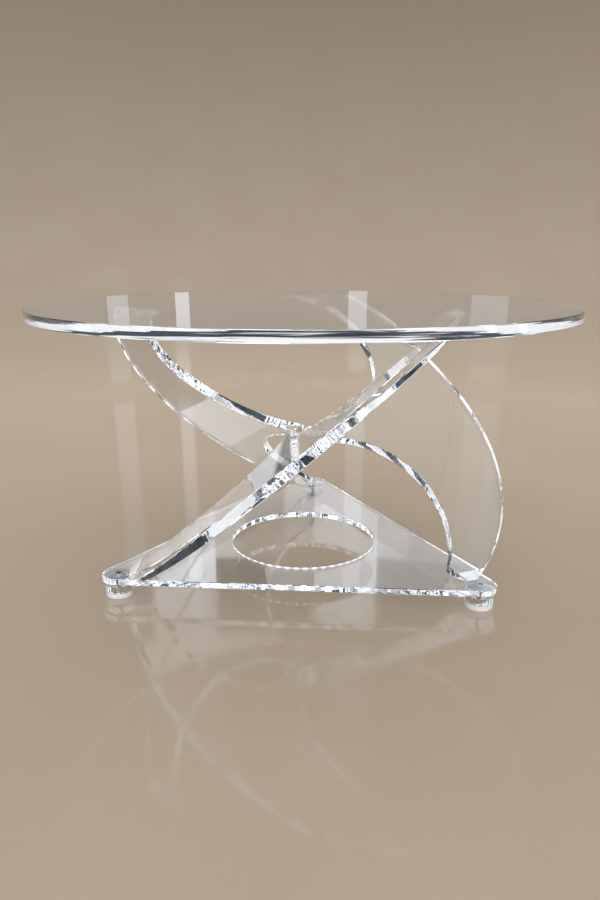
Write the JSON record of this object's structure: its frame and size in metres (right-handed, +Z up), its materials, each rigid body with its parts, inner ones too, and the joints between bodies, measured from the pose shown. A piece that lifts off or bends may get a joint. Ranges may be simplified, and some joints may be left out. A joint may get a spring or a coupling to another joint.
{
  "type": "coffee table",
  "caption": "Clear acrylic coffee table: a round top bonded to tilted crescent blades that meet in a pinwheel and stand on a triangular base plate with a round hole and short round feet.",
  "frame": {"origin": "on the floor, on the upright axis that the top, the base plate and the blades share", "axes": "+Z up, +X to the right and -Y towards the viewer in the picture's view, with the straight side of the base plate facing -Y"},
  "size_m": [0.8639, 0.864, 0.452],
  "materials": {
    "clear_acrylic": "polished, clear",
    "milky_plastic": "satin, milky white",
    "screw_steel": "satin"
  },
  "bodies": {
    "root": {"tabletop": "clear_acrylic", "base_plate": "clear_acrylic", "blade_front": "clear_acrylic", "blade_right": "clear_acrylic", "blade_left": "clear_acrylic", "foot_left": "clear_acrylic", "glide_left": "milky_plastic", "foot_screw_left": "screw_steel", "foot_right": "clear_acrylic", "glide_right": "milky_plastic", "foot_screw_right": "screw_steel", "foot_back": "clear_acrylic", "glide_back": "milky_plastic", "foot_screw_back": "screw_steel"}
  },
  "joints": []
}
